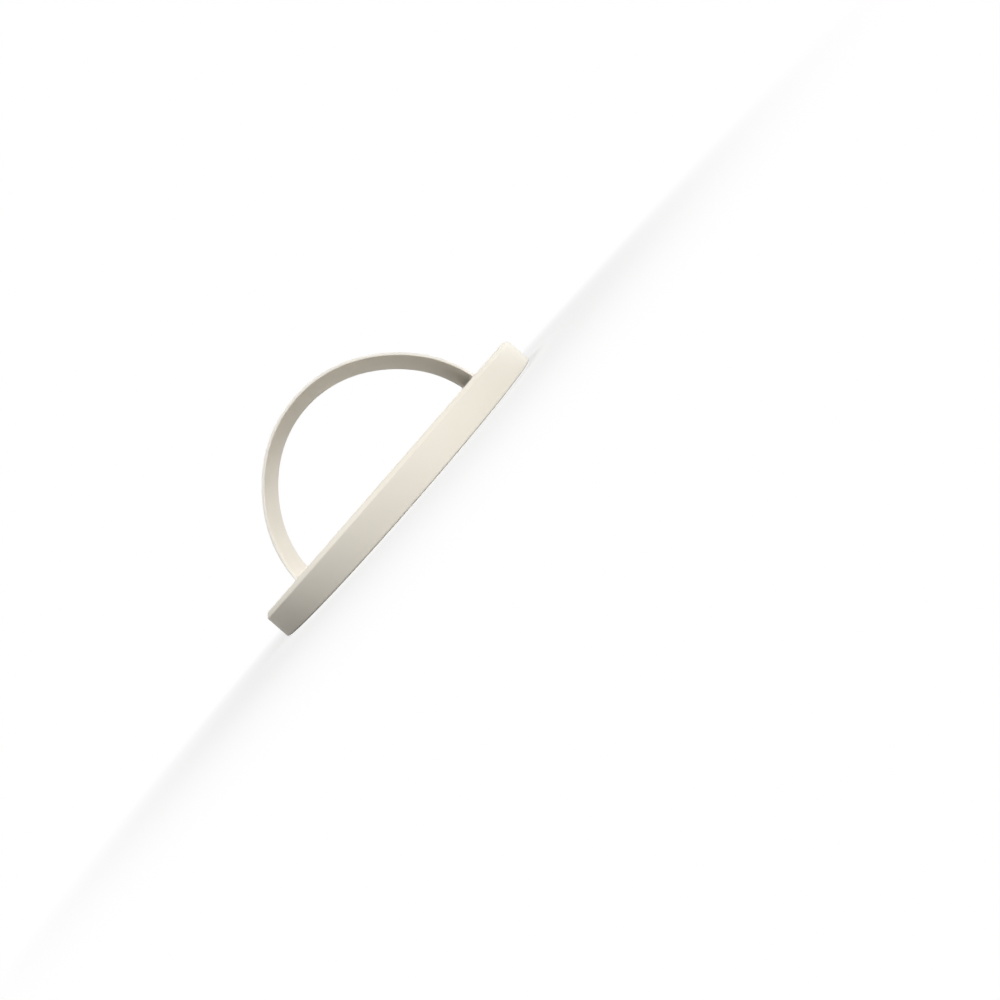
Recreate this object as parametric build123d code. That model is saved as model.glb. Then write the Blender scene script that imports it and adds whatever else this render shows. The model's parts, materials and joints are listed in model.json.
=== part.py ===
from build123d import *
import os
from math import cos, radians, sin, sqrt

os.makedirs("parts", exist_ok=True)

# Ring holder: a round magnetic grip whose half-round finger band swivels without end.
# Millimetres. +Z is the disc's axis, pointing from the pad to the band. The origin is the centre
# of the pad's outer face. The band's feet stand at +X and -X, its breadth runs along Y.

# Magnet ring, which sets the disc's size: it has to match the ring that it holds on to
magnet_ring_diameter = 54.7
magnet_count = 16
magnet_width = 4.0
magnet_thickness = 1.2
magnet_spacing = 0.3         # from one magnet to the next
magnet_clearance = 0.05      # to the walls on both sides
yoke_thickness = 0.4

# Disc housing
weld_ledge = 0.3             # inward step that the bottom plate is welded against
shell_wall = 1.3             # side wall beside the bottom plate
lip_thickness = 1.25         # front of the shell, round the turntable
front_bevel = 0.63
front_bevel_rounding = 0.3
base_rounding = 0.45
opening_bevel = 0.2          # edge of the round window that the turntable fills
rib_width = 1.6              # round rib inside the shell, which guides the turntable's flange

# Closing stack behind the magnets, out to the pad
pad_thickness = 0.5
pad_proud = 0.1              # how far the pad stands out of the shell
pad_bevel = 0.12
plate_thickness = 0.5
seat_clearance = 0.1         # round the pad and the bottom plate
channel_wall = 0.6           # round wall between the magnets and the turntable

# Turntable
skirt_clearance = 0.25       # inside the channel wall
skirt_depth = 0.4            # below the flange
cap_overhang = 0.75          # the front is this much larger than the skirt
cap_recess = 0.05            # the turntable's front lies this far behind the lip
cap_bevel = 0.2
cap_skin = 1.25              # over the cored underside
rim_gap = 0.15               # visible ring gap between the turntable and the shell
flange_lap = 1.45            # how far the flange reaches under the lip
flange_thickness = 0.7
flange_clearance = 0.2       # over the yoke
bearing_clearance = 0.06     # between the flange's rim and the rib
running_gap = 0.03           # between faces that slide on each other
glide_thickness = 0.12
underplate_thickness = 0.4
underplate_margin = 0.45     # the underplate is this much smaller than the skirt

# Cored underside of the turntable
hub_radius = 4.0
core_wall = 1.6              # between the core and a tongue's pocket
core_rib_count = 6
core_rib_width = 1.0

# Spring and washer under the turntable
boss_radius = 8.8
boss_clearance = 0.4         # under the underplate
washer_clearance = 0.3       # round the boss
washer_width = 3.5
friction_washer_thickness = 0.25
wave_thickness = 0.25
wave_count = 3
points_per_wave = 8

# Finger band, a strip bent to a half-round that is a little flatter at its shoulders
band_thickness = 0.7
band_width = 14.6
band_centre_drop = 2.5       # the arch's axis, below the turntable's front
bend_centre_shift = 1.3      # centres of the tighter bends, away from the arch's axis
shoulder_span = 24           # degrees of flatter strip, midway between crown and foot
band_edge_rounding = 0.32
flare_radius = 0.4           # hollow rounding where a foot widens onto the turntable
flare_ledge = 0.1            # flat rim outside that rounding
flare_thickness = 0.06
foot_margin = 0.35           # from a foot's corner to the turntable's rim

# Tongues that pass through the turntable and are clamped under it
tongue_width = 9.0
tongue_length = 5.2
bend_radius = 0.3
slot_clearance = 0.1

# Screws that hold the underplate
screw_radius = 0.8
screw_clearance = 0.04
screw_cover = 0.46           # turntable left over a screw's bore
screw_head_radius = 1.25
screw_head_height = 0.4
screw_half_spacing = 2.6     # of the pair in each tongue
screw_inset = 2.1            # from the band's inner face to that pair
drive_width = 0.32           # cross recess
drive_length = 1.3
drive_depth = 0.22

# Heights of the stack, from the pad's outer face up
plate_top = pad_thickness + plate_thickness
magnet_top = plate_top + magnet_thickness
yoke_top = magnet_top + yoke_thickness
flange_low = yoke_top + flange_clearance
flange_top = flange_low + flange_thickness
glide_low = flange_top + running_gap
lip_underside = glide_low + glide_thickness
disc_height = lip_underside + lip_thickness
cap_top = disc_height - cap_recess

# Heights of the stack under the turntable
skirt_low = flange_low - skirt_depth
underplate_low = skirt_low - underplate_thickness
friction_washer_top = underplate_low - running_gap
friction_washer_low = friction_washer_top - friction_washer_thickness
wave_height = friction_washer_low - plate_top
boss_top = underplate_low - boss_clearance
tongue_top = skirt_low + band_thickness
bore_top = cap_top - screw_cover
screw_tip = bore_top - screw_clearance

# Radii, from the magnet ring outwards
magnet_outer_radius = magnet_ring_diameter / 2
chamber_radius = magnet_outer_radius + magnet_clearance
seat_radius = chamber_radius + weld_ledge
plate_radius = seat_radius - seat_clearance
disc_radius = seat_radius + shell_wall

# Radii, from the magnet ring inwards and up to the lip
magnet_inner_radius = magnet_outer_radius - magnet_width
channel_outer_radius = magnet_inner_radius - magnet_clearance
channel_inner_radius = channel_outer_radius - channel_wall
skirt_radius = channel_inner_radius - skirt_clearance
underplate_radius = skirt_radius - underplate_margin
cap_radius = skirt_radius + cap_overhang
opening_radius = cap_radius + rim_gap
flange_radius = opening_radius + flange_lap
rib_inner_radius = flange_radius + bearing_clearance
washer_inner_radius = boss_radius + washer_clearance
washer_outer_radius = washer_inner_radius + washer_width

# The band's feet, which stand as far out as the turntable's front lets them
flare_spread = flare_radius + flare_ledge
foot_corner_side = band_width / 2 + flare_spread
foot_corner_reach = cap_radius - foot_margin
foot_outer = sqrt(foot_corner_reach**2 - foot_corner_side**2) - flare_spread
bend_reach = sqrt((foot_outer - bend_centre_shift) ** 2 + band_centre_drop**2)
foot_inner = bend_centre_shift + sqrt((bend_reach - band_thickness) ** 2 - band_centre_drop**2)
foot_thickness = foot_outer - foot_inner
foot_centre = (foot_outer + foot_inner) / 2
tongue_end = foot_outer - tongue_length
core_radius = tongue_end - slot_clearance - core_wall
screw_reach = foot_inner - screw_inset

# Two screws in each tongue, and one at each side between them
screw_places = [
    (side * screw_reach, hand * screw_half_spacing) for side in (1, -1) for hand in (1, -1)
] + [(0, screw_reach), (0, -screw_reach)]

TINY = 0.001
UP = (Align.CENTER, Align.CENTER, Align.MIN)


def disc(radius, low, high):
    """A round plate between two heights."""
    return Pos(0, 0, low) * Cylinder(radius, high - low, align=UP)


def ring(inner_radius, outer_radius, low, high):
    """A flat ring between two heights."""
    return disc(outer_radius, low, high) - disc(inner_radius, low, high)


def slab(x_low, x_high, width, low, high):
    """A block from one X to another, centred on Y, between two heights."""
    centre = Pos((x_low + x_high) / 2, 0, low)
    return centre * Box(x_high - x_low, width, high - low, align=UP)


def rims(part, radius, height):
    """The round edges about the disc's axis with this radius and height."""
    round_edges = part.edges().filter_by(GeomType.CIRCLE)
    return round_edges.filter_by(
        lambda edge: abs(edge.radius - radius) < TINY and abs(edge.arc_center.Z - height) < TINY
    )


def screw_holes(low, high):
    """Clearance holes for all the underplate's screws."""
    hole = disc(screw_radius + screw_clearance, low, high)
    return [Pos(x, y, 0) * hole for x, y in screw_places]


def write(node, part):
    """Save one sub-part under its node's name."""
    export_step(part, f"parts/{node}.step")


# Disc housing


def make_top_shell():
    """The outer housing: side wall, lip round the window and the flange's guide rib."""
    base = pad_proud
    shell = disc(disc_radius, base, disc_height)
    shell -= disc(seat_radius, base, plate_top)
    shell -= disc(chamber_radius, plate_top, lip_underside)
    shell -= disc(opening_radius, lip_underside, disc_height)
    shell += ring(rib_inner_radius, rib_inner_radius + rib_width, yoke_top, lip_underside)
    shell = chamfer(rims(shell, disc_radius, disc_height), front_bevel)
    bevel_edges = rims(shell, disc_radius, disc_height - front_bevel)
    bevel_edges += rims(shell, disc_radius - front_bevel, disc_height)
    shell = fillet(bevel_edges, front_bevel_rounding)
    shell = fillet(rims(shell, disc_radius, base), base_rounding)
    return chamfer(rims(shell, opening_radius, disc_height), opening_bevel)


def make_bottom_plate():
    """The closing plate, with the round wall beside the magnets and the washer boss."""
    plate = disc(plate_radius, pad_thickness, plate_top)
    plate += ring(channel_inner_radius, channel_outer_radius, plate_top, magnet_top)
    return plate + disc(boss_radius, plate_top, boss_top)


def make_back_pad():
    """The soft disc that the holder grips with."""
    pad = disc(plate_radius, 0, pad_thickness)
    return chamfer(rims(pad, plate_radius, 0), pad_bevel)


# Magnet ring


def make_magnet(index):
    """One arc of the magnet ring, with parallel-sided gaps to its neighbours."""
    turn = 360 / magnet_count
    wedge_reach = 2 * magnet_outer_radius
    arc = ring(magnet_inner_radius, magnet_outer_radius, plate_top, magnet_top)
    for side in (1, -1):
        beyond = Pos(0, side * (wedge_reach / 2 - magnet_spacing / 2), 0)
        cutter = beyond * Box(2 * wedge_reach, wedge_reach, 2 * magnet_top)
        arc -= Rot(0, 0, side * turn / 2) * cutter
    behind = Pos(-wedge_reach, 0, 0) * Box(2 * wedge_reach, 2 * wedge_reach, 2 * magnet_top)
    return Rot(0, 0, turn * index) * (arc - behind)


def make_yoke_ring():
    """The thin steel ring that closes the magnets' field on the front side."""
    return ring(magnet_inner_radius, magnet_outer_radius, magnet_top, yoke_top)


# Turntable


def tongue_profile():
    """Side view of a tongue: down from the foot, then bent in towards the disc's axis."""
    points = [
        (foot_inner, cap_top),
        (foot_inner, tongue_top),
        (tongue_end, tongue_top),
        (tongue_end, skirt_low),
        (foot_outer, skirt_low),
        (foot_outer, cap_top),
    ]
    face = make_face(Plane.XZ * Polyline(*points, close=True))
    inside_bend = face.vertices().sort_by_distance((foot_inner, 0, tongue_top))[0]
    face = fillet(inside_bend, bend_radius)
    outside_bend = face.vertices().sort_by_distance((foot_outer, 0, skirt_low))[0]
    return fillet(outside_bend, bend_radius + band_thickness)


def make_tongue():
    """The +X foot's tongue, with its two screw holes."""
    tongue = extrude(tongue_profile(), tongue_width / 2, both=True)
    return tongue - screw_holes(skirt_low, tongue_top)


def tongue_room():
    """The slot and pocket that the +X tongue passes through and lies in."""
    width = tongue_width + 2 * slot_clearance
    slot = slab(foot_inner - slot_clearance, foot_outer + slot_clearance, width, skirt_low, cap_top)
    pocket = slab(tongue_end - slot_clearance, foot_outer, width, skirt_low, tongue_top)
    bend_start = foot_inner - bend_radius - slot_clearance
    bend = slab(bend_start, foot_outer, width, skirt_low, tongue_top + bend_radius)
    return slot + pocket + bend


def make_turntable_cap():
    """The moulded front plate: rim, flange, cored underside, slots and screw bores."""
    cap = disc(cap_radius, flange_top, cap_top)
    cap += disc(flange_radius, flange_low, flange_top)
    cap += disc(skirt_radius, skirt_low, flange_low)
    core = ring(hub_radius, core_radius, skirt_low, cap_top - cap_skin)
    for index in range(core_rib_count):
        turned = Rot(0, 0, 360 / core_rib_count * index)
        core -= turned * slab(0, core_radius, core_rib_width, skirt_low, cap_top)
    cap -= core
    cap = chamfer(rims(cap, cap_radius, cap_top), cap_bevel)
    cap -= tongue_room()
    cap -= Rot(0, 0, 180) * tongue_room()
    return cap - screw_holes(skirt_low, bore_top)


def make_underplate():
    """The steel plate that clamps the tongues against the turntable."""
    plate = disc(underplate_radius, underplate_low, skirt_low)
    return plate - screw_holes(underplate_low, skirt_low)


def make_screw():
    """One low-headed screw, standing on its head at the disc's axis."""
    head_low = underplate_low - screw_head_height
    head = disc(screw_head_radius, head_low, underplate_low)
    for turn in (0, 90):
        drive = Box(drive_length, drive_width, drive_depth, align=UP)
        head -= Pos(0, 0, head_low) * Rot(0, 0, turn) * drive
    return head + disc(screw_radius, underplate_low, screw_tip)


def make_underplate_screws():
    """All the underplate's screws, as a group of separate solids."""
    screw = make_screw()
    return Compound(children=[Pos(x, y, 0) * screw for x, y in screw_places])


# Parts that give the swivel its drag


def make_glide_ring():
    """The slippery ring under the lip, which the flange turns against."""
    return ring(opening_radius, flange_radius, glide_low, lip_underside)


def make_friction_washer():
    """The flat ring between the spring and the underplate."""
    return ring(washer_inner_radius, washer_outer_radius, friction_washer_low, friction_washer_top)


def wave_line(radius, lift):
    """A closed wavy line round the disc's axis, on a face of the spring this far up."""
    swing = (wave_height - wave_thickness) / 2
    steps = wave_count * points_per_wave
    points = []
    for step in range(steps):
        angle = radians(360 / steps * step)
        height = plate_top + lift + swing * (1 + cos(wave_count * angle))
        points.append((radius * cos(angle), radius * sin(angle), height))
    return Spline(*points, periodic=True).edge()


def make_wave_washer():
    """The waved spring ring: its troughs rest on the plate, its crests carry the washer."""
    low_inner = wave_line(washer_inner_radius, 0)
    low_outer = wave_line(washer_outer_radius, 0)
    high_inner = wave_line(washer_inner_radius, wave_thickness)
    high_outer = wave_line(washer_outer_radius, wave_thickness)
    walls = [
        (low_inner, low_outer),
        (high_inner, high_outer),
        (low_inner, high_inner),
        (low_outer, high_outer),
    ]
    return Solid(Shell([Face.make_surface_from_curves(first, second) for first, second in walls]))


# Finger band


def arch_line(depth):
    """Side view of the arch at this depth in the strip: over from one side to the other."""
    radius = bend_reach - depth
    low = 45 - shoulder_span / 2
    high = 45 + shoulder_span / 2
    right_haunch = CenterArc((bend_centre_shift, 0), radius, 0, low)
    crown = CenterArc((0, bend_centre_shift), radius, high, 180 - 2 * high)
    left_haunch = CenterArc((-bend_centre_shift, 0), radius, 180 - low, low)
    right_shoulder = TangentArc(right_haunch @ 1, crown @ 0, tangent=right_haunch % 1)
    left_shoulder = TangentArc(crown @ 1, left_haunch @ 0, tangent=crown % 1)
    return [right_haunch, right_shoulder, crown, left_shoulder, left_haunch]


def make_arch():
    """The bent strip with rounded edges, cut level where it meets the turntable."""
    outer = arch_line(0)
    inner = arch_line(band_thickness)
    ends = [Line(outer[0] @ 0, inner[0] @ 0), Line(outer[-1] @ 1, inner[-1] @ 1)]
    side_view = Plane.XZ * make_face(outer + inner + ends)
    arch = Pos(0, 0, cap_top - band_centre_drop) * extrude(side_view, band_width / 2, both=True)
    arch -= Box(4 * foot_outer, 2 * band_width, 2 * cap_top)
    long_edges = arch.edges().filter_by(GeomType.CIRCLE)
    return fillet(long_edges, band_edge_rounding)


def flare_plate(side):
    """The thin rim of one foot, a rounded rectangle wider than the band on every side."""
    outline = RectangleRounded(
        foot_thickness + 2 * flare_spread, 2 * foot_corner_side, band_edge_rounding + flare_spread
    )
    return Pos(side * foot_centre, 0, cap_top) * extrude(outline, flare_thickness)


def make_ring_band():
    """The finger band: the arch, its flared feet and the tongues under the turntable."""
    band = make_arch() + flare_plate(1) + flare_plate(-1)
    ledge_height = cap_top + flare_thickness
    ledges = band.faces().filter_by(lambda face: abs(face.center().Z - ledge_height) < TINY)
    roots = [edge for face in ledges for edge in face.inner_wires()[0].edges()]
    band = fillet(roots, flare_radius)
    tongue = make_tongue()
    return band + tongue + Rot(0, 0, 180) * tongue


write("top_shell", make_top_shell())
write("bottom_plate", make_bottom_plate())
write("back_pad", make_back_pad())
for number in range(magnet_count):
    write(f"magnet_{number + 1:02d}", make_magnet(number))
write("yoke_ring", make_yoke_ring())
write("glide_ring", make_glide_ring())
write("wave_washer", make_wave_washer())
write("friction_washer", make_friction_washer())
write("turntable_cap", make_turntable_cap())
write("underplate", make_underplate())
write("underplate_screws", make_underplate_screws())
write("ring_band", make_ring_band())
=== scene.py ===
# %% [markdown]
# # A magnetic ring holder, dressed for its portrait
# The construction comes in as a fixed frame: every inner piece at its real size and place.
# This script gives it a camera, lamps, finishes, and finer skins for the pieces that show.

# %% Load the frame
import json
from math import cos, pi, radians, sin, sqrt, tan

import bmesh
import bpy
from mathutils import Matrix, Vector


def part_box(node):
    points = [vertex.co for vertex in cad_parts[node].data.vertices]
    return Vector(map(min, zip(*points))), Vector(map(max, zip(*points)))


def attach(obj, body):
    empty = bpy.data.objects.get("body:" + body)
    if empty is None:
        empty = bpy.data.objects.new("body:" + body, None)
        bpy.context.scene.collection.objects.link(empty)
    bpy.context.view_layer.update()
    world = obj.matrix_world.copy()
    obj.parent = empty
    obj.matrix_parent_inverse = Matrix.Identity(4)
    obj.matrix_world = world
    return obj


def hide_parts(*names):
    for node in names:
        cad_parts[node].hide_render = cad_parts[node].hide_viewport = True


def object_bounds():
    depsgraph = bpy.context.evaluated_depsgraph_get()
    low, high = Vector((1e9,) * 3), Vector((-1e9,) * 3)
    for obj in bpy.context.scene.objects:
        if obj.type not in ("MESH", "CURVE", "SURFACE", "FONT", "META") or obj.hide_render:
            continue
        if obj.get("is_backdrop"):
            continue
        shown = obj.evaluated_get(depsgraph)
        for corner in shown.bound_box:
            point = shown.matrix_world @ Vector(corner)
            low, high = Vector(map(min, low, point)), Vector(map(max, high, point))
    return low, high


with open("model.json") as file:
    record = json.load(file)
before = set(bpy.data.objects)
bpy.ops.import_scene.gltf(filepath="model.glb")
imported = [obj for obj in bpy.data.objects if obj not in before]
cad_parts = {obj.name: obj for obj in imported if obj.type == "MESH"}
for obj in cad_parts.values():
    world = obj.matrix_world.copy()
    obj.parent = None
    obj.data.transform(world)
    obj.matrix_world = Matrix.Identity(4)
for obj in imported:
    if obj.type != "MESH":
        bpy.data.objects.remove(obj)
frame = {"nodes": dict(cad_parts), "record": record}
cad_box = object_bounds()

MM = 0.001


def in_mm(corners):
    """Corners in millimetres, rounded for printing."""
    return [[round(value / MM, 3) for value in corner] for corner in corners]


print("CAD box in mm:", in_mm(cad_box))

# %% [markdown]
# ## Sizes
# Most sizes are read from the frame's boxes, so they can't drift from the construction. The
# rest are the maker's own, such as roundings, clearances and the strip's section. Each of those
# stands in the cell that needs it first.

# %% Sizes
shell_low, shell_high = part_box("top_shell")
disc_radius = shell_high.x
shell_base = shell_low.z
face_height = shell_high.z

pad_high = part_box("back_pad")[1]
pad_radius = pad_high.x
pad_top = pad_high.z
plate_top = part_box("magnet_01")[0].z

yoke_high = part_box("yoke_ring")[1]
magnet_radius = yoke_high.x
yoke_top = yoke_high.z
glide_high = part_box("glide_ring")[1]
flange_radius = glide_high.x
lip_underside = glide_high.z

cap_low, cap_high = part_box("turntable_cap")
skirt_low = cap_low.z
cap_top = cap_high.z
crown_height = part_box("ring_band")[1].z
print("disc radius", round(disc_radius / MM, 3), "face height", round(face_height / MM, 3))

# %% [markdown]
# ## Camera
# The picture was taken from very near, with the eye level with the disc's front face: the face
# is a straight line, while the half-round band opens out in strong perspective. The camera is
# turned about its own line of sight, because the disc stands aslant in the picture.

# %% Camera
PICTURE_PIXELS = 1000
FOCAL_PIXELS = 766.6
FACE_CENTRE_PIXEL = (385.3, 477.5)  # where the middle of the front face is in the picture
SENSOR_MM = 36.0
CAMERA_DISTANCE = 124.5 * MM        # from the disc's axis
CAMERA_TURN = radians(48.93)
NEAREST_SEEN = 1 * MM
FARTHEST_SEEN = 20.0                # metres, past the floor's far edge


def add_object(name, data):
    """Puts a new object with this data into the scene."""
    added = bpy.data.objects.new(name, data)
    bpy.context.scene.collection.objects.link(added)
    return added


def add_camera():
    """A close camera, level with the disc's front face."""
    across, down = [pixel / PICTURE_PIXELS for pixel in FACE_CENTRE_PIXEL]
    data = bpy.data.cameras.new("close_camera")
    data.sensor_width = SENSOR_MM
    data.lens = SENSOR_MM * FOCAL_PIXELS / PICTURE_PIXELS
    data.shift_x = 0.5 - across
    data.shift_y = down - 0.5
    data.clip_start = NEAREST_SEEN
    data.clip_end = FARTHEST_SEEN
    camera = add_object("close_camera", data)
    stand = Matrix.Translation((0, -CAMERA_DISTANCE, face_height))
    aslant = Matrix.Rotation(CAMERA_TURN, 4, "Y")
    level = Matrix.Rotation(pi / 2, 4, "X")
    camera.matrix_world = stand @ aslant @ level
    bpy.context.scene.camera = camera
    return data


lens = add_camera()
print("lens", round(lens.lens, 2), "mm, shift", round(lens.shift_x, 4), round(lens.shift_y, 4))

# %% [markdown]
# ## Shader maths
# A pattern reads better as an expression than as a tangle of nodes. `Wire` wraps a socket, and
# each operator on it adds one Math node, also where a plain number comes first, as in
# `1 - cloud`.


# %% Wires
class Wire:
    """A socket's number, which arithmetic turns into Math nodes."""

    def __init__(self, web, socket):
        self.web = web
        self.socket = socket

    def _math(self, operation, first, second):
        return self.web.node("ShaderNodeMath", {"operation": operation}, {0: first, 1: second})

    def __add__(self, other):
        return self._math("ADD", self, other)

    def __radd__(self, other):
        return self._math("ADD", other, self)

    def __sub__(self, other):
        return self._math("SUBTRACT", self, other)

    def __rsub__(self, other):
        return self._math("SUBTRACT", other, self)

    def __mul__(self, other):
        return self._math("MULTIPLY", self, other)

    def __rmul__(self, other):
        return self._math("MULTIPLY", other, self)


# %% [markdown]
# Every other kind of node comes from `Web.node`, which takes the node's type, its settings, and
# the values or links of its sockets. A socket goes by its name, or by its number where several
# share a name. The methods below `node` are what the finishes share: a point on the piece, a
# cloudy pattern, and a blend of two colours or of two shaders.

# %% Webs
COLOUR_A = 6                        # a Mix node's two sockets for colours
COLOUR_B = 7
COLOUR_MIXED = 2                    # and its output for the colour between them


class Web:
    """A tree of shader nodes in the making."""

    def __init__(self, tree):
        self.tree = tree

    def put(self, socket, value):
        """Links a wire to a socket, or sets the socket's own value."""
        if isinstance(value, Wire):
            self.tree.links.new(value.socket, socket)
        else:
            socket.default_value = value

    def node(self, kind, settings=None, sockets=None, output=0):
        """Adds a node: first its settings, then the values or links of its sockets."""
        node = self.tree.nodes.new(kind)
        for setting, value in (settings or {}).items():
            setattr(node, setting, value)
        for socket, value in (sockets or {}).items():
            self.put(node.inputs[socket], value)
        return Wire(self, node.outputs[output])

    def place(self, stretch=(1, 1, 1)):
        """The point on the piece, in metres, stretched along the axes."""
        point = self.node("ShaderNodeTexCoord", output="Object")
        return self.node("ShaderNodeMapping", sockets={"Vector": point, "Scale": stretch})

    def noise(self, lump, detail, stretch=(1, 1, 1)):
        """Cloudy values about 0.5, with lumps of this size in millimetres."""
        sockets = {"Vector": self.place(stretch), "Scale": 1 / (lump * MM), "Detail": detail}
        return self.node("ShaderNodeTexNoise", sockets=sockets)

    def mix(self, factor, first, second):
        """A colour between two others."""
        sockets = {"Factor": factor, COLOUR_A: (*first, 1), COLOUR_B: (*second, 1)}
        return self.node("ShaderNodeMix", {"data_type": "RGBA"}, sockets, COLOUR_MIXED)

    def blend(self, factor, first, second):
        """A shader between two others."""
        return self.node("ShaderNodeMixShader", sockets={0: factor, 1: first, 2: second})


# %% [markdown]
# A finish is a material with one main shader. What is the same all over a surface is set on the
# shader's sockets by name, and patterns are fed in afterwards. Colours are written as a screen
# writes them and made linear, because a shader adds up light in linear values.

# %% Finishes
SCREEN_WHITE = 255
CURVE_OFFSET = 0.055                # of the curve that screens follow
CURVE_POWER = 2.4


class Finish(Web):
    """A material, with its values set by name and its patterns fed in later."""

    def __init__(self, name, **values):
        self.material = bpy.data.materials.new(name)
        self.material.use_nodes = True
        super().__init__(self.material.node_tree)
        self.shader = self.tree.nodes["Principled BSDF"]
        for socket, value in values.items():
            self.put(self.shader.inputs[socket.replace("_", " ")], value)

    def feed(self, socket, wire):
        """Links a pattern to one of the shader's own sockets."""
        self.put(self.shader.inputs[socket], wire)

    def relief(self, height, depth):
        """Bumps of this depth in millimetres, where height goes from 0 to 1."""
        bump = self.node("ShaderNodeBump", sockets={"Height": height, "Distance": depth * MM})
        self.feed("Normal", bump)


def from_screen(*levels):
    """Red, green and blue as a screen writes them, from 0 to 255, made linear for a shader."""
    shares = [level / SCREEN_WHITE for level in levels]
    return tuple(((share + CURVE_OFFSET) / (1 + CURVE_OFFSET)) ** CURVE_POWER for share in shares)


# %% [markdown]
# ## Cream finishes
# The holder is cream all over. The housing and the turntable are moulded plastic under a
# soft-touch coat: even and matt, with a grain finer than a tenth of a millimetre. The band is a
# metal strip sprayed the same colour, a shade smoother, with the faint swell of wet paint. The
# pad is silicone: duller, a little darker, and dry to the touch.

# %% Cream finishes
CREAM = from_screen(234, 228, 216)
CREAM_SHADE = from_screen(230, 224, 211)
PAINT_CREAM = from_screen(234, 230, 222)
PAINT_SHADE = from_screen(230, 226, 218)
PAD_CREAM = from_screen(214, 207, 193)
PAD_SHADE = from_screen(205, 198, 184)


def soft_touch():
    """Moulded cream plastic under a matt coat."""
    finish = Finish("soft_touch_cream", IOR=1.46, Specular_IOR_Level=0.3)
    cloud = finish.noise(lump=9.0, detail=3.0)
    grain = finish.noise(lump=0.09, detail=1.0)
    finish.feed("Base Color", finish.mix(cloud, CREAM, CREAM_SHADE))
    finish.feed("Roughness", 0.54 + 0.08 * cloud + 0.08 * grain)
    finish.relief(grain, depth=0.004)
    return finish.material


def sprayed_band():
    """Cream paint over the metal strip."""
    finish = Finish("sprayed_cream", IOR=1.5, Specular_IOR_Level=0.22)
    cloud = finish.noise(lump=6.0, detail=2.0)
    swell = finish.noise(lump=0.55, detail=1.0)
    finish.feed("Base Color", finish.mix(cloud, PAINT_CREAM, PAINT_SHADE))
    finish.feed("Roughness", 0.50 + 0.08 * swell)
    finish.relief(swell, depth=0.0015)
    return finish.material


def silicone_pad():
    """The pad's dry, dull silicone."""
    finish = Finish("silicone_cream", IOR=1.41, Specular_IOR_Level=0.35)
    cloud = finish.noise(lump=5.0, detail=4.0)
    grain = finish.noise(lump=0.14, detail=2.0)
    finish.feed("Base Color", finish.mix(cloud, PAD_CREAM, PAD_SHADE))
    finish.feed("Roughness", 0.62 + 0.12 * grain)
    finish.relief(grain, depth=0.012)
    return finish.material


finishes = {
    "shell_plastic": soft_touch(),
    "band_paint": sprayed_band(),
    "soft_pad": silicone_pad(),
}
print("outside:", ", ".join(finishes))

# %% [markdown]
# ## Inner finishes
# Inside the closed housing nothing shows, but each piece still gets what it is made of, so the
# holder can be taken apart on screen: plain moulding, waxy slip rings, nickel and steel.

# %% Inner finishes
MOULDED = from_screen(222, 216, 203)
MOULDED_SHADE = from_screen(212, 205, 191)
SLIP_WHITE = from_screen(238, 238, 234)
SLIP_SHADE = from_screen(228, 229, 226)
NICKEL = from_screen(208, 203, 194)
NICKEL_SHADE = from_screen(190, 184, 174)
STEEL = from_screen(200, 200, 201)
STEEL_SHADE = from_screen(176, 177, 180)
SPRING = from_screen(186, 182, 176)
SPRING_SHADE = from_screen(150, 140, 128)


def moulding(name, light, dark, roughness, flow):
    """Plain plastic, with the pale streaks it leaves as it fills a mould."""
    finish = Finish(name, IOR=1.49)
    streak = finish.noise(lump=2.5, detail=3.0, stretch=(flow, 1, 1))
    grain = finish.noise(lump=0.12, detail=1.0)
    finish.feed("Base Color", finish.mix(streak, light, dark))
    finish.feed("Roughness", roughness + 0.1 * grain)
    finish.relief(grain, depth=0.005)
    return finish.material


def metal(name, light, dark, roughness, lump, drawn=1):
    """Bare or plated metal, with fine marks drawn out along X by this factor."""
    finish = Finish(name, Metallic=1.0)
    marks = finish.noise(lump, detail=3.0, stretch=(1 / drawn, 1, 1))
    patches = finish.noise(lump=4.0, detail=2.0)
    finish.feed("Base Color", finish.mix(patches, light, dark))
    finish.feed("Roughness", roughness + 0.16 * marks + 0.05 * patches)
    finish.relief(marks, depth=0.003)
    return finish.material


finishes |= {
    "inner_plastic": moulding("moulded_cream", MOULDED, MOULDED_SHADE, 0.5, flow=0.4),
    "slip_plastic": moulding("waxy_white", SLIP_WHITE, SLIP_SHADE, 0.3, flow=1.0),
    "magnet_plating": metal("nickel_plate", NICKEL, NICKEL_SHADE, 0.16, lump=0.3),
    "steel": metal("stamped_steel", STEEL, STEEL_SHADE, 0.26, lump=0.1, drawn=14),
    "spring_steel": metal("spring_steel", SPRING, SPRING_SHADE, 0.2, lump=0.2, drawn=3),
    "screw_steel": metal("turned_steel", STEEL_SHADE, SPRING, 0.24, lump=0.06),
}
print(len(finishes), "finishes")

# %% [markdown]
# The record says which slot each node takes its finish from. One loop gives every node of the
# frame its material, the ones that a finer skin will stand for included.


# %% Finish the frame's nodes
def paint(piece, material):
    """Gives a piece one material."""
    piece.data.materials.clear()
    piece.data.materials.append(material)


for subpart in frame["record"]["subparts"]:
    paint(frame["nodes"][subpart["node"]], finishes[subpart["material_slot"]])

# %% [markdown]
# ## Modelling helpers
# Each new piece is one bmesh, shaped by operators, that becomes an object at the origin. Faces
# meet smoothly unless they turn by more than a set angle, so edges stay crisp.

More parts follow.
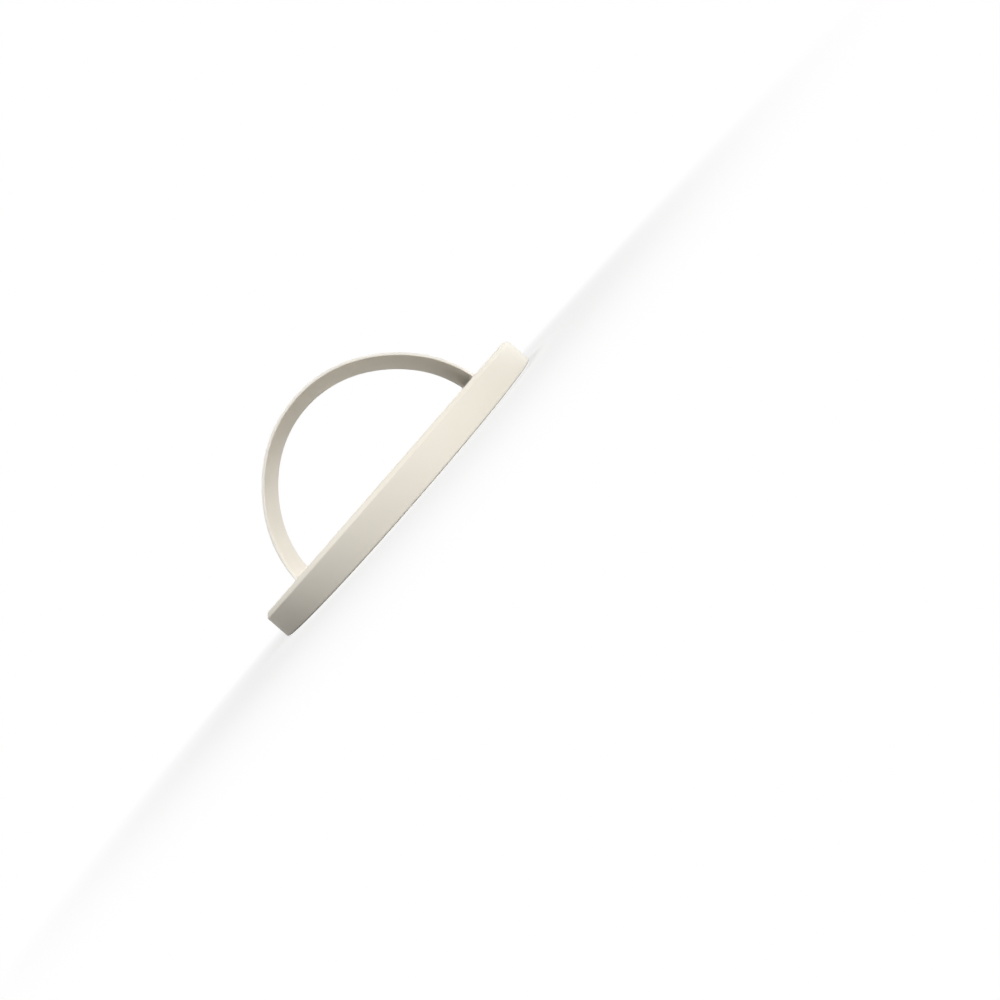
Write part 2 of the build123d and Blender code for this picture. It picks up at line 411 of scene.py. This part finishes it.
# %% Modelling helpers
SAME_PLACE = 0.002 * MM
MERGE_REACH = SAME_PLACE / 4
TURN_STEPS = 240
WIDE_STEPS = 6                      # in a rounding that catches the light
NARROW_STEPS = 4                    # and in a smaller one
ROUND_PROFILE = 0.5
OWN_MATERIAL = -1                   # a bevel's faces keep the material of their neighbours
CREASE_ANGLE = radians(32)
NO_SHIFT = (0, 0, 0)


def only(kind, elements):
    """The verts, edges or faces among an operator's elements."""
    return [element for element in elements if isinstance(element, kind)]


def each_once(elements):
    """The elements in their order, without repeats."""
    return list(dict.fromkeys(elements))


def drawn_loop(bm, points):
    """Draws a closed loop through points, and gives its verts and its edges."""
    verts = [bm.verts.new(point) for point in points]
    edges = [bm.edges.new(pair) for pair in zip(verts, verts[1:] + verts[:1])]
    return verts, edges


def turn_round(bm, profile, steps):
    """Spins a profile once round the disc's axis."""
    bmesh.ops.spin(
        bm, geom=profile, cent=NO_SHIFT, axis=(0, 0, 1), dvec=NO_SHIFT,
        angle=2 * pi, steps=steps, use_merge=True,
    )


def rounded(bm, elements, reach, steps, kind="EDGES"):
    """Rounds edges or corners: reach is how far the rounding runs along each side."""
    bmesh.ops.bevel(
        bm, geom=elements, offset=reach, offset_type="OFFSET", segments=steps,
        profile=ROUND_PROFILE, affect=kind, material=OWN_MATERIAL,
    )


def circle(bm, radius, height):
    """The edges that run round the disc's axis at this radius and height."""
    def on_it(vert):
        off_height = abs(vert.co.z - height)
        off_radius = abs(vert.co.xy.length - radius)
        return max(off_height, off_radius) < SAME_PLACE
    return [edge for edge in bm.edges if all(on_it(vert) for vert in edge.verts)]


# %% [markdown]
# A finished bmesh goes through the same steps every time: doubles merged, normals turned
# outwards, smooth and crisp edges told apart. The new piece then says which body it moves with,
# whose finish it wears and which node it stands for.


# %% From bmesh to piece
def add_mesh(bm, name):
    """Makes an object at the origin from a bmesh, which ends here."""
    mesh = bpy.data.meshes.new(name)
    bm.to_mesh(mesh)
    bm.free()
    return add_object(name, mesh)


def add_piece(bm, name, body, slot, node):
    """Makes a piece that rides on a body, takes a slot's finish and stands for a node."""
    bmesh.ops.remove_doubles(bm, verts=bm.verts, dist=MERGE_REACH)
    bmesh.ops.recalc_face_normals(bm, faces=bm.faces)
    for face in bm.faces:
        face.smooth = True
    for edge in bm.edges:
        edge.smooth = edge.is_manifold and edge.calc_face_angle() < CREASE_ANGLE
    open_edges = sum(not edge.is_manifold for edge in bm.edges)
    piece = add_mesh(bm, name)
    paint(piece, finishes[slot])
    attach(piece, body)
    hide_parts(node)
    along_axes = list(zip(*(vertex.co for vertex in piece.data.vertices)))
    own_box = [[end(values) for values in along_axes] for end in (min, max)]
    print(name, len(piece.data.polygons), "faces,", open_edges, "open edges")
    print("  box", in_mm(own_box), "for the node's", in_mm(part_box(node)))


# %% [markdown]
# ## Housing
# The real housing is moulded in one shot: a wall, a softened front edge, a lip round the
# turntable and a rib inside it. A turned shape is best made as one: the section is drawn with
# its true corners, spun about the axis, and only then are its rings of edges rounded. That way
# the roundings stay even and the section stays short.

# %% Housing
FRONT_BEVEL = 0.63 * MM
FACE_ROUNDING = 0.3 * MM            # from the bevel to the front face
WALL_ROUNDING = 0.12 * MM           # from the bevel to the wall
BASE_ROUNDING = 0.3 * MM
WINDOW_ROUNDING = 0.2 * MM
WINDOW_LAP = 1.45 * MM              # of the lip over the turntable's flange
SEAT_CLEARANCE = 0.1 * MM
MAGNET_CLEARANCE = 0.05 * MM
FLANGE_CLEARANCE = 0.06 * MM
RIB_WIDTH = 1.6 * MM


def make_housing():
    """The outer shell, turned from its section."""
    window = flange_radius - WINDOW_LAP
    seat = pad_radius + SEAT_CLEARANCE
    chamber = magnet_radius + MAGNET_CLEARANCE
    rib = flange_radius + FLANGE_CLEARANCE
    bevel_foot = face_height - FRONT_BEVEL
    bevel_head = disc_radius - FRONT_BEVEL
    section = [
        (seat, shell_base),
        (disc_radius, shell_base),
        (disc_radius, bevel_foot),
        (bevel_head, face_height),
        (window, face_height),
        (window, lip_underside),
        (rib, lip_underside),
        (rib, yoke_top),
        (rib + RIB_WIDTH, yoke_top),
        (rib + RIB_WIDTH, lip_underside),
        (chamber, lip_underside),
        (chamber, plate_top),
        (seat, plate_top),
    ]
    bm = bmesh.new()
    verts, edges = drawn_loop(bm, [(radius, 0, height) for radius, height in section])
    turn_round(bm, verts + edges, TURN_STEPS)
    rounded(bm, circle(bm, bevel_head, face_height), FACE_ROUNDING, WIDE_STEPS)
    rounded(bm, circle(bm, disc_radius, bevel_foot), WALL_ROUNDING, NARROW_STEPS)
    rounded(bm, circle(bm, disc_radius, shell_base), BASE_ROUNDING, WIDE_STEPS)
    rounded(bm, circle(bm, window, face_height), WINDOW_ROUNDING, NARROW_STEPS)
    add_piece(bm, "housing", "base", "shell_plastic", "top_shell")


make_housing()

# %% [markdown]
# ## Pad
# The pad is die-cut from silicone sheet, and the cutter leaves its lower edge round. It starts
# as a filled circle, raised by its thickness. The flat faces are inset by a narrow ring, which
# keeps the shading of the rounded edge from running over them.

# %% Pad
PAD_ROUNDING = 0.12 * MM
PAD_MARGIN = 0.3 * MM


def make_pad():
    """The soft disc under the housing."""
    bm = bmesh.new()
    bmesh.ops.create_circle(bm, cap_ends=True, segments=TURN_STEPS, radius=pad_radius)
    raised = bmesh.ops.extrude_face_region(bm, geom=bm.faces[:], use_keep_orig=True)["geom"]
    bmesh.ops.translate(bm, verts=only(bmesh.types.BMVert, raised), vec=(0, 0, pad_top))
    rounded(bm, circle(bm, pad_radius, 0), PAD_ROUNDING, NARROW_STEPS)
    flats = [face for face in bm.faces if len(face.verts) == TURN_STEPS]
    bmesh.ops.inset_individual(bm, faces=flats, thickness=PAD_MARGIN)
    add_piece(bm, "pad", "base", "soft_pad", "back_pad")


make_pad()

# %% [markdown]
# ## Finger band: its form
# The band is one steel strip with tumbled edges, bent to a half-round that is a little flatter
# at its shoulders. So each half has three bends: a tight one at the crown, a flatter one at the
# shoulder, and a tight one down to the foot. The strip's section is read from the picture. It
# is thinner and a little broader than the frame's, and its crown is as high.

# %% Finger band: its form
STRIP_THICKNESS = 0.48 * MM
STRIP_BREADTH = 15.2 * MM
OUTER_ROUNDING = 0.22 * MM
INNER_ROUNDING = 0.12 * MM
ARCH_DROP = 2.35 * MM               # the arch's axis, below the turntable's front
BEND_SHIFT = 1.3 * MM               # centres of the tighter bends, away from the arch's axis
SHOULDER_START = radians(57)        # where the shoulder's flatter bend begins and ends
SHOULDER_END = radians(33)
BEND_STEP = radians(1.25)
FLARE_REACH = 0.25 * MM             # hollow rounding where the foot widens
FLARE_RIM = 0.06 * MM               # height of the foot's thin rim
FLARE_LEDGE = 0.1 * MM              # flat outside the hollow rounding
FLARE_STEPS = 7
CUT_MARGIN = 0.03 * MM

arch_axis = cap_top - ARCH_DROP
bend_radius = crown_height - arch_axis - BEND_SHIFT
shoulder_shift = BEND_SHIFT / (tan(SHOULDER_START) - 1)  # so that the bends meet without a kink
rim_height = cap_top + FLARE_RIM
cut_height = rim_height + FLARE_REACH + CUT_MARGIN


def strip_reach(depth, height):
    """How far out the foot is at a height, this deep in the strip."""
    return BEND_SHIFT + sqrt((bend_radius - depth) ** 2 - (height - arch_axis) ** 2)


print("tight bends", round(bend_radius / MM, 3), "mm in radius, outside")
print("foot", round(strip_reach(0, cap_top) / MM, 3), "mm out where it meets the turntable")

# %% [markdown]
# ## Finger band: the arch
# Only one half is modelled, from the crown down to the foot at +X, and mirrored at the end. The
# strip's section is a rectangle whose corners are bevelled as vertices, the inner ones less,
# because the inner edges are crisper. Spinning that loop bends it, once for each bend, as the
# real strip is bent. A level cut then ends it at the height where its foot begins to widen.


# %% Finger band: the arch
def bent(bm, loop, centre, turn, steps):
    """Bends a loop about a line along Y, and gives the loop that it ends in."""
    made = bmesh.ops.spin(
        bm, geom=loop, cent=centre, axis=(0, 1, 0), dvec=NO_SHIFT, angle=turn, steps=steps
    )
    return made["geom_last"]


def bend_arch(bm):
    """Bends the strip from the crown and gives the edges of its level lower end."""
    corners = [
        bm.verts.new((0, side * STRIP_BREADTH / 2, crown_height - depth))
        for side, depth in ((-1, 0), (1, 0), (1, STRIP_THICKNESS), (-1, STRIP_THICKNESS))
    ]
    bm.faces.new(corners)
    rounded(bm, corners[:2], OUTER_ROUNDING, WIDE_STEPS, kind="VERTICES")
    rounded(bm, corners[2:], INNER_ROUNDING, WIDE_STEPS, kind="VERTICES")
    bmesh.ops.delete(bm, geom=bm.faces[:], context="FACES_ONLY")
    bends = [
        # centre, outwards and up from the arch's axis, then the turn
        (0, BEND_SHIFT, pi / 2 - SHOULDER_START),
        (-shoulder_shift, -shoulder_shift, SHOULDER_START - SHOULDER_END),
        (BEND_SHIFT, 0, SHOULDER_END),
    ]
    loop = bm.verts[:] + bm.edges[:]
    for out, up, turn in bends:
        loop = bent(bm, loop, (out, 0, arch_axis + up), turn, round(turn / BEND_STEP))
    everything = bm.verts[:] + bm.edges[:] + bm.faces[:]
    cut = bmesh.ops.bisect_plane(
        bm, geom=everything, plane_co=(0, 0, cut_height), plane_no=(0, 0, 1), clear_inner=True
    )
    return only(bmesh.types.BMEdge, cut["geom_cut"])


band = bmesh.new()
cut_edges = bend_arch(band)
print("half the arch:", len(band.faces), "faces, cut", round(cut_height / MM, 3), "mm up")

# %% [markdown]
# ## Finger band: the foot
# Paint and weld fill the corner where the strip meets the turntable, so the foot widens in a
# hollow curve to a thin rim. The cut loop is extruded down, then outwards, then down by the
# rim's height, and the inner corner is rounded by a bevel. Each point moves straight away from
# the strip's flat core, which keeps the widening even round the ends.


# %% Finger band: the foot
def extruded(bm, edges, move):
    """Extrudes a loop of edges, moves each new point by move(point), and gives the new loop."""
    made = bmesh.ops.extrude_edge_only(bm, edges=edges)["geom"]
    new_verts = set(only(bmesh.types.BMVert, made))
    for vert in new_verts:
        vert.co += move(vert.co)
    return [edge for edge in only(bmesh.types.BMEdge, made) if new_verts.issuperset(edge.verts)]


def widen_foot(bm, edges):
    """Adds the foot's hollow widening and thin rim, and gives the rim's lower edges."""
    foot_centre = strip_reach(STRIP_THICKNESS / 2, rim_height)
    lean = foot_centre - strip_reach(STRIP_THICKNESS / 2, cut_height)
    core_thickness = STRIP_THICKNESS / 2 - OUTER_ROUNDING
    core_breadth = STRIP_BREADTH / 2 - OUTER_ROUNDING

    def outwards(point):
        core_x = min(max(point.x, foot_centre - core_thickness), foot_centre + core_thickness)
        core_y = min(max(point.y, -core_breadth), core_breadth)
        away = Vector((point.x - core_x, point.y - core_y, 0)).normalized()
        return away * (FLARE_REACH + FLARE_LEDGE)

    corner = extruded(bm, edges, lambda point: Vector((lean, 0, rim_height - cut_height)))
    ledge = extruded(bm, corner, outwards)
    rim = extruded(bm, ledge, lambda point: Vector((0, 0, -FLARE_RIM)))
    rounded(bm, corner, FLARE_REACH, FLARE_STEPS)
    return rim


foot_edges = widen_foot(band, cut_edges)
foot_spots = [vert.co for edge in foot_edges for vert in edge.verts]
print("foot:", round(max(spot.x for spot in foot_spots) / MM, 3), "mm out at most")

# %% [markdown]
# ## Finger band: the tongue
# Under the foot the strip goes on, narrower, down through a slot in the turntable, and bends
# inwards there. The level ring between the foot's rim and the tongue is filled between its two
# outlines, and the bend is another spin.

# %% Finger band: the tongue
TONGUE_BREADTH = 9.0 * MM
TONGUE_BEND_RADIUS = 0.3 * MM       # inside its bend
TONGUE_BEND_STEPS = 8


def bend_tongue(bm, edges):
    """Adds the tongue under the foot and gives the edges of the level end after its bend."""
    inner = strip_reach(STRIP_THICKNESS, cap_top)
    outer = inner + STRIP_THICKNESS
    side = TONGUE_BREADTH / 2
    outline = ((inner, -side), (inner, side), (outer, side), (outer, -side))
    mouth = drawn_loop(bm, [(reach, y, cap_top) for reach, y in outline])[1]
    bmesh.ops.triangle_fill(bm, use_beauty=True, edges=edges + mouth)
    bend_height = skirt_low + STRIP_THICKNESS + TONGUE_BEND_RADIUS
    straight = extruded(bm, mouth, lambda point: Vector((0, 0, bend_height - cap_top)))
    straight_verts = each_once(vert for edge in straight for vert in edge.verts)
    centre = (inner - TONGUE_BEND_RADIUS, 0, bend_height)
    end = bent(bm, straight_verts + straight, centre, pi / 2, TONGUE_BEND_STEPS)
    return only(bmesh.types.BMEdge, end)


bend_edges = bend_tongue(band, foot_edges)
print("tongue bent:", len(band.faces), "faces so far")

# %% [markdown]
# After its bend the tongue lies flat, drilled for two of the screws that clamp it. The holes are
# circles that are filled in with the flat faces and then bridged. With its tongue the half is
# whole, and a mirror makes the other one.

# %% Finger band: the tongue's flat end
TONGUE_LENGTH = 5.2 * MM
HOLE_RADIUS = 0.84 * MM
HOLE_SIDE = 2.6 * MM                # of each hole, from the tongue's middle line
HOLE_INSET = 2.25 * MM              # from the strip's inner face
HOLE_STEPS = 32


def drill(bm, face, places):
    """Opens round holes in a level face and gives each hole's edges."""
    outline = face.edges[:]
    height = face.calc_center_median().z
    bmesh.ops.delete(bm, geom=[face], context="FACES_ONLY")
    holes = []
    for x, y in places:
        spot = Matrix.Translation((x, y, height))
        made = bmesh.ops.create_circle(bm, segments=HOLE_STEPS, radius=HOLE_RADIUS, matrix=spot)
        holes.append(each_once(edge for vert in made["verts"] for edge in vert.link_edges))
    hole_edges = [edge for hole in holes for edge in hole]
    bmesh.ops.triangle_fill(bm, use_beauty=True, edges=outline + hole_edges)
    return holes


def flatten_tongue(bm, edges):
    """Adds the flat end of the tongue, closed and drilled."""
    tip = strip_reach(0, cap_top) - TONGUE_LENGTH
    hole_x = strip_reach(STRIP_THICKNESS, cap_top) - HOLE_INSET
    end = extruded(bm, edges, lambda point: Vector((tip - point.x, 0, 0)))
    bmesh.ops.contextual_create(bm, geom=end)
    end_verts = {vert for edge in end for vert in edge.verts}
    flats = [face for face in bm.faces if len(end_verts & set(face.verts)) == 2]
    level = [face for face in flats if abs(face.calc_center_median().y) < SAME_PLACE]
    places = [(hole_x, side * HOLE_SIDE) for side in (1, -1)]
    upper, lower = [drill(bm, face, places) for face in level]
    for upper_hole, lower_hole in zip(upper, lower):
        bmesh.ops.bridge_loops(bm, edges=upper_hole + lower_hole)


flatten_tongue(band, bend_edges)
half_band = band.verts[:] + band.edges[:] + band.faces[:]
bmesh.ops.mirror(band, geom=half_band, axis="X", merge_dist=SAME_PLACE)
add_piece(band, "finger_band", "swivel", "band_paint", "ring_band")

# %% [markdown]
# ## Floor finish
# Near the holder the floor is a matt surface that keeps the soft shadow, lifted towards white.
# Farther out it is the white of the background, so no horizon shows. Both the white and the
# pale matt surface are only there for the camera, for gloss and for glass. To the holder the
# floor is mid-grey, so it throws little light up its wall, and the front edge stays the
# brightest line in the picture.

# %% Floor finish
FLOOR_PALE = from_screen(235, 235, 234)
FLOOR_GREY = from_screen(137, 137, 136)
FLOOR_CLOUDS = 0.08                 # share of the grey that shows in the pale surface
FLOOR_LIFT = 0.65                   # share of white beside the holder
FADE_START = 32 * MM
FADE_END = 90 * MM


def seen_rays(web):
    """One for what the camera, gloss and glass see, and nothing for what lights a surface."""
    kinds = ("Is Camera Ray", "Is Glossy Ray", "Is Transmission Ray")
    camera, gloss, glass = [web.node("ShaderNodeLightPath", output=kind) for kind in kinds]
    return camera + gloss + glass


def pale_floor():
    """A matt floor that fades to plain white, and isn't there when seen from below."""
    finish = Finish("pale_floor", Roughness=0.9, Specular_IOR_Level=0.0)
    cloud = finish.noise(lump=30.0, detail=2.0)
    seen_pale = seen_rays(finish) * (1 - FLOOR_CLOUDS * cloud)
    finish.feed("Base Color", finish.mix(seen_pale, FLOOR_GREY, FLOOR_PALE))
    length = {"operation": "LENGTH"}
    distance = finish.node("ShaderNodeVectorMath", length, {0: finish.place()}, "Value")
    whiteness = finish.node(
        "ShaderNodeMapRange", {"interpolation_type": "SMOOTHSTEP"},
        {"Value": distance, "From Min": FADE_START, "From Max": FADE_END, "To Min": FLOOR_LIFT},
    )
    matt = Wire(finish, finish.shader.outputs["BSDF"])
    white = finish.node("ShaderNodeEmission")
    floor_top = finish.blend(whiteness * seen_rays(finish), matt, white)
    from_below = finish.node("ShaderNodeNewGeometry", output="Backfacing")
    nothing = finish.node("ShaderNodeBsdfTransparent")
    surface = finish.tree.nodes["Material Output"].inputs["Surface"]
    finish.put(surface, finish.blend(from_below, floor_top, nothing))
    return finish.material


floor_finish = pale_floor()
print("floor finish:", len(floor_finish.node_tree.nodes), "nodes")

# %% [markdown]
# ## Floor
# A plain level ring: one edge, spun about the disc's axis. It is wide enough for its rim to be
# lost in the white. It lies just below the holder, and is open underneath it, so that the pad
# can be lit and looked at from below.

# %% Floor
FLOOR_RADIUS = 3.0                  # metres
FLOOR_DROP = 0.02 * MM
FLOOR_STEPS = 96


def make_floor():
    """A wide level ring, open where the holder stands."""
    bm = bmesh.new()
    opening = disc_radius - BASE_ROUNDING
    rims = [bm.verts.new((radius, 0, -FLOOR_DROP)) for radius in (opening, FLOOR_RADIUS)]
    turn_round(bm, rims + [bm.edges.new(rims)], FLOOR_STEPS)
    floor = add_mesh(bm, "floor")
    paint(floor, floor_finish)
    floor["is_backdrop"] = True
    return floor


floor = make_floor()
print("floor faces up:", all(face.normal.z > 0 for face in floor.data.polygons))

# %% [markdown]
# ## Light
# The light in the picture is soft and comes from the side: the wall runs evenly from bright at
# its +X end to grey at the other. One broad lamp, low beside the camera, does most of it. One
# behind the holder lights the band's inner face, which the first can't reach. A third stands
# high over the -X end and brings out the front edge. A fourth, under the floor, reaches only
# the holder's underside, through the floor's opening. What the camera and the gloss see around
# the holder is plain white, which lights nothing.

# %% Light
LAMPS = {
    # name: (degrees round from the camera's side towards +X, degrees up, watts)
    "side_lamp": (28, 8, 2.22),
    "rear_lamp": (130, 8, 1.14),
    "high_lamp": (-90, 65, 1.33),
    "pad_lamp": (0, -90, 2.0),
}
LAMP_DISTANCE = 0.45                # metres
LAMP_WIDTH = 0.26
DARK = (0.0, 0.0, 0.0)
WHITE = (1.0, 1.0, 1.0)
LIT_POINT = Vector((0, 0, face_height))


def add_lamp(name, turn, rise, watts):
    """A round area lamp, turned to the holder."""
    data = bpy.data.lights.new(name, "AREA")
    data.shape = "DISK"
    data.size = LAMP_WIDTH
    data.energy = watts
    lamp = add_object(name, data)
    round_angle = radians(turn)
    level = cos(radians(rise))
    towards = Vector((sin(round_angle) * level, -cos(round_angle) * level, sin(radians(rise))))
    lamp.location = LIT_POINT + towards * LAMP_DISTANCE
    lamp.rotation_euler = towards.to_track_quat("Z", "Y").to_euler()
    return lamp


def light_world():
    """A world that is plain white for the camera, gloss and glass, and dark otherwise."""
    world = bpy.data.worlds.new("studio")
    world.use_nodes = True
    bpy.context.scene.world = world
    web = Web(world.node_tree)
    sky = web.mix(seen_rays(web), DARK, WHITE)
    web.put(web.tree.nodes["Background"].inputs["Color"], sky)


lamps = [add_lamp(name, *settings) for name, settings in LAMPS.items()]
light_world()
bpy.context.scene.view_settings.view_transform = "Standard"
print(len(lamps), "lamps")

# %% [markdown]
# The visual model's box is printed, like the construction's box at the start, so the two can be
# set against each other. The visual model has to stay inside the construction's box.

# %% The visual box
visual_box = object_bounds()
print("visual box in mm:", in_mm(visual_box))
